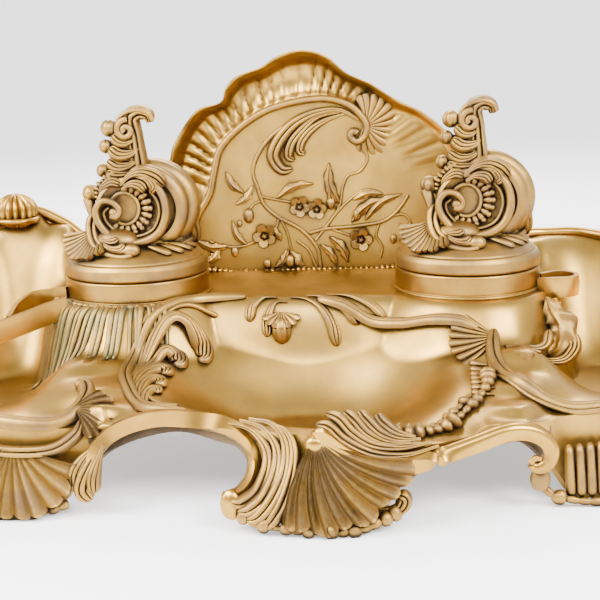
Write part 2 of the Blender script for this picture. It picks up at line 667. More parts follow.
def plate_sheet():
    """The plate's casting: fluted front, turned lip, and a plain back."""
    columns, rings = 640, 96
    a = np.linspace(0, TAU, columns + 1)
    ring = np.concatenate([np.linspace(0.0, 0.55, 22), np.linspace(0.56, 0.996, rings - 22)])
    radius = polar_radius(plate_edge, np.mod(a + math.pi, TAU) - math.pi, True)
    x = PLATE_HUB[0] + np.cos(a)[None] * radius * ring[:, None]
    z = PLATE_HUB[1] + np.sin(a)[None] * radius * ring[:, None]
    front = np.stack([x, plate_y(x, z), z], -1)
    back = np.concatenate([front[::-3], front[:1]])
    flat_back = PLATE_FRONT_Y + 1.5 - (back[..., 0]**2) / 2 / PLATE_BEND_R
    back[..., 1] = np.maximum(back[..., 1] + 3.2, flat_back)
    rim = front[-1:].copy()
    rim[..., 0] = PLATE_HUB[0] + (rim[..., 0] - PLATE_HUB[0]) * 1.006
    rim[..., 2] = PLATE_HUB[1] + (rim[..., 2] - PLATE_HUB[1]) * 1.006
    rim[..., 1] += 1.4
    return close_up(shaped_grid("back_plate_casting", np.concatenate([front, rim, back])))


def plate_ornament():
    """The scroll bead, shell, acanthus and flowering spray on the front of the plate."""
    curl = [(32.5, 137.5), (28.5, 135.5), (25.5, 138), (27, 141), (29, 140)]
    made = [tube("bead", on_plate(BEAD + curl, 1.0), FRONT, 1.9, steps=220)]
    hub = [33, float(plate_y(np.array(33.0), np.array(144.0))) - 1.5, 144]
    made.append(fan("shell", hub, [0.75, 0, 0.2],
                    [0.2, 0, -0.75], (14, 16, 17, 18, 18, 18, 18, 17, 15, 13), math.radians(225), 14,
                    swirl=-0.2, cup=-2.2, rib=0.9, scallop=0.05, start=math.radians(-84), ragged=0.05))
    for path, width in (
        ([(30, 147), (20, 152), (8, 151), (-3, 146), (-11, 138), (-15, 129), (-11, 122), (-5, 122)], 3.6),
        ([(20, 151), (9, 149), (1, 143), (-5, 136), (-7, 129), (-4, 126.5)], 2.7),
        ([(24, 150.5), (13, 147), (5, 142), (0, 136), (-1, 131), (2, 130)], 2.4),
    ):
        made.append(tongue("acanthus", on_plate(path, 1.2), FRONT, width, width * 0.95, steps=60))
    stems = (
        ([(8, 62), (8, 73), (6, 81), (-2, 90), (-14, 97), (-21, 104), (-24, 113), (-26, 121), (-23, 130),
          (-16, 139), (-5, 147)], 1.1),
        ([(3, 88), (12, 90), (26, 91), (40, 93), (46, 96), (51, 101), (55, 107)], 1.0),
        ([(6, 84), (14, 94), (19, 102), (21, 112), (24, 118), (30, 120), (34, 126), (33, 131)], 0.8),
        ([(-22, 108), (-14, 106), (-4, 104)], 0.8), ([(12, 92), (22, 103), (32, 110), (40, 109)], 0.7),
        ([(-22, 86), (-32, 82), (-42, 82), (-50, 85)], 0.8), ([(-13, 97), (-15, 91), (-20, 88)], 0.8),
        ([(-12, 95), (-9, 88), (-7, 79)], 0.7), ([(40, 93), (38, 86), (41, 80), (40, 74)], 0.7),
        ([(-21, 106), (-26, 104), (-30, 99)], 0.7), ([(14, 90), (22, 87), (29, 85)], 0.7),
        ([(46, 96), (52, 97), (56, 93), (53, 90), (50, 92)], 0.7),
        ([(-4, 84), (2, 79), (6, 70), (12, 64)], 0.8),
    )
    for path, radius in stems:
        made.append(tube("stem", on_plate(path, 0.3), FRONT, radius, sides=8))
    for x, z, r, turn in ((-2, 102, 5.8, 0.2), (7, 100.5, 5.6, 1.1), (-21, 87, 6.6, 0.5),
                          (30, 84, 6.4, 0.0), (-13, 66, 4.2, 0.6)):
        made.append(blossom("blossom", on_plate([(x, z)], 0.8)[0], RIGHT, UP, r, turn=turn, depth=2.6))
    for x, z, r in ((14.5, 103.5, 2.8), (-29, 98, 3.4), (28, 97, 2.6), (-20, 72, 2.4), (-8, 73, 3.2),
                    (-4, 73, 2.6), (-37, 79, 2.4), (-34, 94, 1.6), (47, 84, 2.2)):
        made.append(knob("bud", on_plate([(x, z)], 0.6)[0], r, (0.85, 0.8, 1.2), grooves=5))
    for base, tip, width in (
        ((19, 103), (14, 125), 3.4), ((17, 100), (16, 118), 2.2), ((-14, 107), (6, 114), 2.6),
        ((-40, 82), (-57, 86), 3.2), ((25, 93), (44, 106), 3.4), ((32, 94), (52, 108), 2.6),
        ((26, 105), (42, 108), 2.4), ((13, 86), (23, 72), 3.2), ((8, 82), (17, 70), 2.4),
        ((-31, 110), (-40, 122), 2.6), ((-26, 114), (-36, 104), 2.2), ((-30, 82), (-38, 96), 2.2),
        ((-45, 82), (-52, 74), 2.8), ((-8, 79), (-2, 68), 2.6), ((-9, 80), (-16, 70), 2.6),
        ((-20, 92), (-12, 84), 2.2), ((54, 92), (62, 80), 2.8), ((50, 84), (57, 72), 2.6),
    ):
        (x0, z0), (x1, z1) = base, tip
        bow = 0.12
        mid = ((x0 + x1) / 2 - (z1 - z0) * bow, (z0 + z1) / 2 + (x1 - x0) * bow, 0.9)
        path = on_plate([(x0, z0, 0), mid, (x1, z1, 0.2)], 0.5)
        made.append(leaf("leaf", path, FRONT, width, lobes=3, steps=24, across=11))
    return join("back_plate_ornament", made)


def make_back_plate():
    """The plate and the ornament on it, which stand for one CAD node."""
    finish(plate_sheet(), BURNISHED, "stand", ["back_plate"])
    finish(plate_ornament(), CHASED, "stand")


# ---------------------------------------------------------------- the tray


def rim_station(u):
    """The rim at u round the tray: place, outward direction, height, skirt's lower edge and flare."""
    s = closed_curve(STATIONS, u)
    rim = s[:, :2]
    out = unit(rim - MIDDLE)
    low = np.maximum(0, np.minimum(s[:, 3], s[:, 2] - WALL - 3))
    return rim, out, s[:, 2], low, s[:, 4]


def carving(x, y):
    """Relief worked into the tray's plain face: drapery flutes under the left well, hammering elsewhere."""
    from_well = np.hypot(x + WELL_X, y - WELL_Y)
    a = np.arctan2(y - WELL_Y, x + WELL_X)
    span = smooth(-2.95, -2.75, a) * (1 - smooth(-1.75, -1.6, a))
    fold = np.abs(np.sin(a * 26 + 0.5 * np.sin(a * 7)))**0.7
    band = smooth(38, 41, from_well) * (1 - smooth(58, 68 + 5 * np.sin(a * 5), from_well))
    flutes = span * band * (1.9 * (fold - 0.6) + 0.5 * np.sin(a * 61))
    return flutes + 0.12 * lumps(x, y, 30, 3)


def tray_sheet():
    """The tray's casting: face, flared skirt, and an even wall behind both, bored for the two pots."""
    columns, rings, skirt = 640, 96, 9
    u = np.linspace(0, 1, columns + 1)
    rim, out, rim_z, low, flare = rim_station(np.mod(u, 1))
    t = np.linspace(0, 1, rings + 1)[:, None, None]
    plan = mix(MIDDLE, rim[None], t)
    x, y = plan[..., 0], plan[..., 1]
    z = ground(x, y) + carving(x, y) * (1 - smooth(0.9, 1, t[..., 0]))
    z[-1] = rim_z
    top = np.stack([x, y, z], -1)
    v = np.linspace(0, 1, skirt + 1)[1:, None]
    outer = np.stack([rim[:, 0] + out[:, 0] * flare * v**2, rim[:, 1] + out[:, 1] * flare * v**2,
                      mix(rim_z, low, v)], -1)
    inner_rim = rim - WALL * 0.7 * out
    inner = np.stack([inner_rim[:, 0] + out[:, 0] * flare * v**2,
                      inner_rim[:, 1] + out[:, 1] * flare * v**2, mix(rim_z - WALL, low, v)], -1)[::-1]
    t = np.linspace(1, 0, 26)[1:, None, None]
    plan = mix(MIDDLE, inner_rim[None], t)
    under = np.stack([plan[..., 0], plan[..., 1], ground(plan[..., 0], plan[..., 1]) - WALL * 0.8], -1)
    piece = close_up(shaped_grid("tray_casting", np.concatenate([top, outer, inner, under])))
    for well in (-WELL_X, WELL_X):
        pick()
        bpy.ops.mesh.primitive_cylinder_add(vertices=96, radius=BORE_R * MM, depth=0.05,
                                            location=(well * MM, WELL_Y * MM, PLATFORM_Z * MM))
        drill = bpy.context.object
        apply(piece, "BOOLEAN", operation="DIFFERENCE", solver="MANIFOLD", object=drill)
        bpy.data.objects.remove(drill)
    return piece


def darken_underside(piece):
    """The unseen faces of the casting, and the edges under the front arches, are left as cast."""
    faces = piece.data.polygons
    centre = np.zeros(len(faces) * 3)
    faces.foreach_get("center", centre)
    x, y, z = centre.reshape(-1, 3).T / MM
    below = ground(x, y) - z > 2.6
    inside = np.hypot(x / 172, y / 72) < 1
    arch = (y < -58) & (((x > -86) & (x < -15)) | ((x > 40) & (x < 104))) & (ground(x, y) - z > 3.4)
    piece.data.materials.append(RAW)
    faces.foreach_set("material_index", ((below & inside) | arch).astype(np.int32))
    piece.data.update()
    return piece


def rim_path(u0, u1, n, lift=0.0, outward=0.0):
    """Points along the tray's rim from one station number to another."""
    u = np.mod(np.linspace(u0, u1, n) / len(STATIONS), 1)
    rim, out, rim_z, _, _ = rim_station(u)
    return np.column_stack([rim + out * outward, rim_z + lift])


def front_bands():
    """The broad polished bands that arch between the feet, and curl over at their ends."""
    band = np.array([(-1, -1), (0, -1.15), (0.85, -1), (1.1, -0.3), (1.1, 0.4), (0.85, 1), (0, 1.15),
                     (-1, 1)])
    left = [(-82, -75, 15), (-83, -75, 22), (-81, -74, 28), (-75, -72, 33.5), (-66, -71, 37.5),
            (-55, -70.5, 39.5), (-43, -71.5, 39), (-31, -74, 37.5), (-22.5, -77, 34.5), (-17, -80, 30),
            (-15.5, -83, 24), (-17, -87, 18.5), (-21, -91, 14.5), (-25.5, -93, 13.5), (-28.5, -93.5, 15.5)]
    right = [(7, -91, 36), (9.5, -92, 38.3), (14, -92.5, 36), (20, -93, 31), (31, -92, 26), (43, -90, 24.3),
             (57, -87, 26.5), (72, -84.5, 31), (84, -82, 34.5), (93, -80, 34), (99.5, -79, 30.5),
             (102, -79, 25.5), (100.5, -79.5, 20.5), (96.5, -80, 19), (94, -80.5, 21), (95.5, -81, 23.5),
             (98, -81, 23)]
    made = []
    for name, path, thin_from, thin_to in (
        ("left_arch_band", left, 0.1, 0.04), ("right_arch_band", right, 0.04, 0.12),
    ):
        n = 190
        s = np.linspace(0, 1, n)
        ends = 0.3 + 0.7 * smooth(0, thin_from, s) * (1 - smooth(1 - thin_to, 1, s))
        deep = (2.7 + 0.5 * np.sin(math.pi * s)) * ends
        made.append(swept(name, path, band_up(path), band, 2.4 * ends, deep, steps=n))
    made.append(knob("left_curl_toe", [-24.8, -94.5, 11], 4.8, (0.95, 0.7, 1.35), grooves=3))
    made.append(knob("hub_button", [8.5, -92.5, 34.5], 3.6, (1.1, 0.8, 1.1)))
    return join("front_arch_bands", made)


def band_up(path):
    """The upward direction of a front band: square to its run, in the plane that faces the front."""
    run = unit(np.gradient(np.asarray(path, float), axis=0))
    return unit(np.cross(np.array([0.0, -1.0, 0.0]), run) * -1)


def tray_mouldings():
    """Double-reeded scroll mouldings round the dishes, laid on the tray's face."""
    made = []
    dish_c = [(-26, 21), (-38, 21), (-50, 17), (-60, 8), (-69, -2), (-75, -11), (-77, -24), (-74, -38),
              (-67, -52), (-57, -62), (-45, -67)]
    made.append(reeded_band("dish_moulding", on_ground(dish_c, 0.9), UP, 3.1, 2.8, reeds=2, start=0.12,
                            end=0.15, steps=200))
    inner = [(-40, 15), (-52, 10), (-61, 2), (-68, -7), (-71.5, -17), (-71, -29), (-66, -42), (-58, -53),
             (-49, -60)]
    made.append(tube("dish_bead", on_ground(inner, 0.7), UP, 1.2, steps=140))
    back = [(8, 19), (20, 17), (34, 13), (48, 6), (61, -1), (73, -5), (82, -8)]
    made.append(reeded_band("back_moulding", on_ground(back, 1.0), UP, 4.6, 3.4, reeds=5, start=0.15,
                            end=0.2, steps=140))
    right = [(88, -8), (86.5, -17), (87, -26), (90, -38), (95, -47), (104, -53), (114, -56.5), (126, -57.5),
             (140, -54), (154, -45)]
    made.append(reeded_band("right_dish_moulding", on_ground(right, 1.6), UP, 3.4, 3.4, reeds=2, start=0.1,
                            end=0.2, steps=160))
    line = [(84, -20), (85, -32), (90, -45), (100, -56), (113, -61), (126, -62.5), (140, -60)]
    made.append(tube("right_dish_bead", on_ground(line, 0.8), UP, 1.1, steps=120))
    left = [(-150, -50), (-137, -57), (-124, -61.5), (-110, -64), (-99, -62), (-92, -56), (-89.5, -49),
            (-92, -43), (-96, -43.5)]
    made.append(reeded_band("left_dish_moulding", on_ground(left, 1.8), UP, 3.6, 3.8, reeds=2, start=0.1,
                            end=0.08, steps=160))
    made.append(reeded_band("left_second_moulding",
                            [(-152, -64, 30), (-134, -70, 28), (-116, -72, 26), (-100, -72, 27),
                             (-91, -68, 32), (-89, -62, 37)], FRONT + UP * 0.5, 2.8, 2.6, reeds=2,
                             steps=120))
    return join("dish_mouldings", made)


def tray_acanthus():
    """Acanthus, acorn, shells and ruffled edging cast on the tray."""
    made = []
    for path, width, reeds, full in (
        ([(-73, -28), (-71.5, -16), (-67, -5), (-60, 1.5), (-52, 4.5), (-46, 3), (-44.5, -1.5), (-47, -3)],
         5.4, 5, 0.45),
        ([(-73, -33), (-71.5, -22), (-68, -12), (-62.5, -6.5), (-57, -6), (-55, -9.5), (-57, -11.5)], 5.0,
         5, 0.45),
        ([(-71.5, -41), (-71, -30), (-68, -22), (-63.5, -17.5), (-60, -18.5), (-60, -22)], 4.4, 4, 0.4),
        ([(-68, -49), (-69, -40), (-67.5, -32), (-64, -28), (-61, -30), (-62, -33.5)], 3.8, 4, 0.4),
        ([(-63, -56), (-66, -48), (-65, -41), (-62, -38), (-60, -41)], 3.2, 3, 0.4),
        ([(-5, 20), (3, 19), (10, 16.5), (15, 13), (17, 9.5)], 3.2, 3, 0.6),
        ([(3, 21), (12, 19.5), (21, 16), (27, 12.5)], 3.2, 3, 0.6),
        ([(12, 22), (24, 20), (34, 16.5), (40, 13)], 3.0, 3, 0.6),
        ([(-11, 20), (-18, 20), (-23, 17), (-24.5, 13.5)], 2.8, 3, 0.6),
        ([(-6, 18), (-12, 18), (-15.5, 15), (-16, 11)], 2.6, 3, 0.6),
    ):
        made.append(tongue("acanthus_lobe", on_ground(path, 1.0), UP, width, width * 0.66, reeds=reeds,
                           steps=60, full=full))
    acorn = on_ground([(-9, 12)], 1.5)[0]
    made.append(knob("acorn", acorn, 5.2, (0.9, 0.9, 1.25), grooves=8, depth=0.1))
    made.append(fan("acorn_cup", acorn + np.array([0, 3, 9]), [0, -0.6, -0.8], [-1, 0, 0], 10,
                    math.radians(150), 7, rib=1.2, cup=1.5, scallop=0.2))
    hub = on_ground([(89, -13)], 3)[0] + np.array([0, 0, 1.5])
    made.append(fan("dish_shell", hub, [-1, 0, 0], [0, 0.72, 0.69], (17, 19, 21, 22, 22, 21, 17),
                    math.radians(132), 11, swirl=0.15, rib=1.7, cup=-1.5, scallop=0.08,
                    start=math.radians(-92), ragged=0.04))
    for k in range(7):
        x, y = 82 - 0.3 * k, -24 - 4.2 * k
        path = on_ground([(x + 3, y - 2.5), (x - 1.5, y - 1), (x - 6.5, y + 1.5)], 0.6)
        made.append(tongue("edge_curl", path, UP, 1.7, 1.5, reeds=1, steps=20))
    ruffle = [(82, -34), (81, -44), (77, -53), (71, -61), (63, -68), (54, -73), (44, -75), (36, -72),
              (30, -66)]
    made.append(lumpy_row("ruffle", on_ground(ruffle, 1.4), UP, 3.0, 19, seed=5, uneven=0.5, flat=1.0))
    made.append(lumpy_row("ruffle", on_ground([(q[0] - 3.5, q[1] + 3.5) for q in ruffle[2:8]], 0.6), UP,
                          2.1, 13, seed=8, uneven=0.6))
    made.append(fan("small_shell", [-93, -59, 40], [0.95, -0.1, -0.25], [0.1, 0.75, 0.65],
                    (14, 17, 19, 18, 15), math.radians(110), 8, swirl=-0.25, rib=1.6, cup=-1.5,
                    scallop=0.12, ragged=0.06, start=math.radians(-45)))
    upright = [(113, 2, 42), (119, 4, 46), (121, 7, 54), (117, 10, 62), (114.5, 13, 68)]
    made.append(leaf("upright_acanthus", upright, (-0.3, -0.9, 0.3), 8.5, lobes=4, crown=0.3, vein=0.14,
                     steps=60, across=25, thick=1.5))
    for path, width, reeds, steps in (
        ([(106, -2, 44), (114, -4, 42), (121, -2, 42), (126, 2, 46), (126, 5, 50), (122.5, 4.5, 51)], 3.0,
         3, 50),
        ([(100, -8, 51), (107, -7, 49), (112, -4, 50), (114, 1, 55)], 2.4, 2, 40),
    ):
        made.append(tongue("acanthus_heel", path, (-0.2, -0.8, 0.5), width, width, reeds=reeds,
                           steps=steps))
    coil = volute([101, -22, 44], [1, 0, 0], [0, 1, 0], 6.5, 1.8, 1.35, math.radians(-60))
    coil = np.vstack([[(92, -16, 47), (95, -15, 47), (99, -14.5, 46)], coil[6:] + np.array([0, 0, 1.0])])
    made.append(swept("scroll_end", coil, UP, strap_section(0.28, 0.4), 3.4, 6.0, steps=110))
    return join("tray_acanthus", made)


def drapery():
    """Close upright folds that hang below the left well, green in their hollows."""
    rng = np.random.default_rng(6)
    made = []
    for k in range(27):
        a = math.radians(196 + 3.9 * k + rng.uniform(-0.6, 0.6))
        inner, outer = 37.2, 49 + 8 * math.sin(math.radians(7.2 * k)) + rng.uniform(-3, 4)
        sway = math.radians(rng.uniform(-2, 2) - 3)
        path = []
        for f in (0, 0.25, 0.5, 0.75, 1):
            r = mix(inner, outer, f)
            path.append((-WELL_X + r * math.cos(a + sway * f), WELL_Y + r * math.sin(a + sway * f)))
        n = 36
        size = rng.uniform(1.0, 1.6) * (0.25 + 0.75 * taper(n, 0.1, 0.5))
        made.append(swept("fold", on_ground(path, 0.3), UP, round_section(10), size, size * 1.25, steps=n))
    hem = [(-WELL_X + 37.6 * math.cos(math.radians(t)), WELL_Y + 37.6 * math.sin(math.radians(t)))
           for t in range(190, 305, 8)]
    made.append(lumpy_row("hem", on_ground(hem, 0.6), UP, 1.5, 22, seed=7, uneven=0.5))
    return join("drapery_folds", made)


def tray_straps():
    """Flat strap scrolls at the ends, and the rolled rail along the back corners."""
    ribbon = strap_section(0.3, 0.42)
    made = [
        swept("left_strap", [(-110, 14, 68), (-118, 10, 66), (-130, 0, 63), (-144, -10, 60),
                             (-158, -16, 58), (-172, -18, 57)], UP, ribbon, 4.5, 5.0, steps=80),
        swept("left_strap_return", [(-112, 24, 71), (-120, 26, 70), (-128, 24, 69), (-134, 16, 66),
                                    (-136, 6, 62)],
              UP, ribbon, 4.0, 4.6, steps=60),
        swept("right_strap", [(113, 24, 70), (120, 20, 71), (127, 21, 71), (131, 26, 71), (130, 33, 71),
                              (124, 37, 71), (116, 36, 70)], UP, ribbon, 3.6, 4.8, steps=80),
        tube("left_rail", rim_path(29.2, 36.5, 60, 1.0, -0.5), UP, 2.6, sides=14, steps=180),
        tube("right_rail", rim_path(17.5, 25.2, 60, 1.0, -0.5), UP, 2.6, sides=14, steps=180),
        tube("left_rail_bead", rim_path(29.6, 36.0, 60, -4.0, -1.5), UP, 1.3, sides=10, steps=160),
        tube("right_rail_bead", rim_path(18.0, 24.8, 60, -4.0, -1.5), UP, 1.3, sides=10, steps=160),
    ]
    back = rim_path(25.2, 29.2, 40, 0.6, -1.0)
    made.append(lumpy_row("back_ledge", back, UP, 2.2, 60, seed=11))
    corner = rim_path(32.2, 32.3, 2, 0)[0] + np.array([1.0, -3.5, 1.5])
    made.append(knob("corner_shell", corner, 11.5, (1.0, 0.85, 0.8), grooves=16, depth=0.2))
    made.append(tube("corner_bead", [corner + np.array([10.6 * math.cos(t), 9.2 * math.sin(t), -4.5])
                                     for t in np.radians(np.linspace(-170, 30, 16))], UP, 1.5, steps=70))
    for k in range(9):
        top = rim_path(20.6 + 0.42 * k, 20.7 + 0.42 * k, 2, -5.5, -2.6)[0]
        drop = 11 + 4 * math.sin(2.1 * k)
        inward = unit(np.array([*MIDDLE, 0]) - np.array([top[0], top[1], 0]))
        path = [top, top + inward * 0.25 * drop + UP * -0.5 * drop, top + inward * 0.7 * drop + UP * -drop]
        made.append(tongue("rail_drip", path, inward + UP * 0.3, 1.9, 1.2, reeds=1, steps=24, full=0.2))
    right_knob = rim_path(24.3, 24.4, 2, 0)[0]
    made.append(knob("rail_knob", right_knob + np.array([0, -2, 4]), 5.0, grooves=7))
    return join("tray_straps", made)


# ---------------------------------------------------------------- the feet


def toe_edge(path, size, count, seed, up=FRONT):
    """The worn, ruffled edge that a shell foot stands on."""
    return lumpy_row("toe_edge", path, up, size, count, seed=seed, uneven=0.5, pinch=0.35)


def centre_foot():
    """A broad swirled shell between the curl of the left arch and the sweep of the right one."""
    out = unit(np.array([0.0, -0.24, -0.97]))
    made = [fan("foot_shell", [9, -91, 37], out, [1, 0, 0], (36, 36, 37, 38, 37, 39, 37, 40, 41, 38),
                math.radians(100), 11, swirl=0.3, cup=-3.0, rib=2.8, scallop=0.05, start=math.radians(-40),
                thick=3.0, rings=60, ragged=0.05, root=0.06)]
    reeds = (
        [(-27, -76, 38), (-18, -79, 36.5), (-11.5, -84, 31), (-10.5, -88, 24), (-14, -93, 16),
         (-20, -96, 12.5), (-25, -97, 13)],
        [(-22, -77.5, 40), (-13, -81, 38), (-7, -86, 31.5), (-7, -91, 23.5), (-11, -96, 15),
         (-17, -98.5, 10.5), (-22, -98.5, 9.5)],
        [(-18, -79, 41), (-9, -82.5, 40), (-3.5, -87, 34), (-3.5, -92, 24), (-8, -97, 14.5),
         (-14, -99.5, 8), (-19, -99, 6.5)],
        [(-10, -82, 40), (-3, -86, 38), (0, -90, 32), (-0.5, -94, 23), (-4, -98, 13), (-9.5, -100, 5.5),
         (-14, -99.5, 4)],
    )
    for path in reeds:
        made.append(tongue("side_reed", path, FRONT + RIGHT * -0.25, 3.3, 3.4, reeds=2, steps=70))
    sweeps = (
        [(9, -87, 41), (14, -89.5, 40.5), (20, -91.5, 35.5), (31, -92, 30), (44, -89.5, 28.5),
         (57, -86.5, 31)],
        [(13, -83, 44), (18, -87, 43), (23, -89.5, 38), (31, -90, 33), (42, -88, 31), (54, -86, 32.5)],
        [(20, -81.5, 44), (24, -86, 42), (28.5, -88.5, 37.5), (36, -88.5, 33.5), (46, -86.5, 32.5)],
        [(26, -81, 44), (29, -85, 41.5), (34, -87, 37), (41, -86.5, 34), (50, -85, 33.5)],
        [(33, -80, 42), (36, -84, 39.5), (41, -85.5, 36.5), (48, -85, 34.5)],
    )
    for path in sweeps:
        made.append(tongue("sweep_reed", path[::-1], FRONT + UP * 0.5, 2.7, 3.0, reeds=2, steps=60))
    made.append(toe_edge([(-22, -97, 8), (-12, -100, 4.5), (0, -101.5, 3), (12, -102.5, 2.4),
                          (24, -101.5, 2.6), (34, -98.5, 5), (41, -95, 8)], 2.4, 15, 4))
    made.append(tongue("toe_scroll", [(30, -97, 9), (36, -96, 8), (41, -95, 8.5), (43, -94, 12),
                                      (40, -93.5, 14)], FRONT,
                       3.2, 3.2, reeds=3, steps=40))
    return join("centre_shell_foot", made)


def left_foot():
    """A shell under the front left corner, with a curled lobe where the arch begins."""
    out = unit(np.array([-0.08, -0.3, -0.95]))
    made = [fan("foot_shell", [-116, -69, 29], out, [1, 0, 0], (34, 32, 31, 31, 33, 33, 30),
                math.radians(130), 10, swirl=0.12, cup=-3.0, rib=2.6, scallop=0.07, thick=3.0, rings=48,
                ragged=0.05, root=0.1)]
    for path, width in (
        ([(-76, -73, 33), (-80, -75, 27), (-84, -77, 20), (-87, -78, 12), (-84, -78, 7)], 4.2),
        ([(-78, -76, 30), (-80, -78, 24), (-82, -79.5, 17), (-82, -80, 11)], 3.0),
        ([(-80, -75, 30), (-86, -76, 25), (-90, -77, 19), (-91, -77, 13)], 2.8),
    ):
        made.append(tongue("curl_lobe", path, FRONT, width, width * 0.8, reeds=3, steps=50))
    made.append(toe_edge([(-142, -76, 3), (-130, -78.5, 2), (-116, -79.5, 1.8), (-104, -78.5, 2.2),
                          (-94, -75.5, 5)], 2.2, 11, 9))
    return join("left_shell_foot", made)


def right_foot():
    """Upright flutes with rounded heads, over a ruffled toe."""
    made = []
    for k in range(8):
        x = 111 + 4.3 * k
        y = -70.5 + 0.09 * k * k
        head = 25.5 - 0.35 * abs(k - 3)
        path = [(x + 0.5, y - 3, 3), (x + 0.3, y - 1.5, 11), (x, y + 0.2, 19), (x, y + 2, head)]
        made.append(tongue("flute", path, FRONT, 2.1, 2.6, reeds=1, steps=34, full=0.1))
    toe = [(100, -74, 8), (106, -75, 4.5), (118, -75.5, 2.4), (130, -73.5, 2.4), (143, -68, 4)]
    made.append(toe_edge(toe, 2.4, 9, 12))
    made.append(knob("curl_heel", [98.5, -77, 13], 4.0, (1.1, 0.8, 1.3), grooves=3))
    return join("right_fluted_foot", made)


def back_foot(side):
    """A scrolled shell foot under a back corner."""
    x = 158 * side
    out = unit(np.array([0.45 * side, 0.22, -0.87]))
    made = [fan("foot_shell", [x - 4 * side, 84, 34], out, unit(np.array([-0.55 * side, 0.83, 0])) * -side,
                33, math.radians(76), 8, cup=-2.5, rib=2.2, scallop=0.07, thick=3.0, rings=40, ragged=0.05)]
    made.append(toe_edge([(x + 17 * side, 74, 4), (x + 15 * side, 84, 2.5), (x + 10 * side, 93, 2.5),
                          (x + side, 97, 4)], 2.2, 8, 2, UP))
    heel = volute([x - side, 88, 35], [side, 0, 0], [0, 0.2, 1], 7, 1.6, 1.5, 2.5)
    made.append(tube("heel_volute", heel, (0, 1, 0), 2.0, steps=70))
    return join("back_left_shell_foot" if side < 0 else "back_right_shell_foot", made)


def make_tray():
    """The casting with its mouldings and ornament, and the five feet."""
    darken_underside(finish(tray_sheet(), BURNISHED, "stand", ["tray"]))
    for piece, material in (
        (front_bands(), BAND), (tray_mouldings(), CHASED), (tray_acanthus(), CHASED), (drapery(), GREENED),
        (tray_straps(), BAND),
    ):
        finish(piece, material, "stand")
    for piece, stands_for in (
        (centre_foot(), "front_centre_foot"), (left_foot(), "front_left_foot"),
        (right_foot(), "front_right_foot"), (back_foot(-1), "back_left_foot"),
        (back_foot(1), "back_right_foot"),
    ):
        finish(piece, CHASED, "stand", [stands_for])


# ---------------------------------------------------------------- wells, lids and finials


def rounded(profile, r=0.6, steps=4):
    """A closed outline with its corners softened."""
    p = np.asarray(profile, float)
    before, after = np.roll(p, 1, 0), np.roll(p, -1, 0)
    points = []
    for a, b, c in zip(before, p, after):
        u, v = a - b, c - b
        lu, lv = np.linalg.norm(u), np.linalg.norm(v)
        cut = min(r, lu * 0.45, lv * 0.45)
        for t in np.linspace(0, 1, steps):
            points.append(b + u / lu * cut * (1 - t)**2 + v / lv * cut * t**2)
    return np.array(points + points[:1])


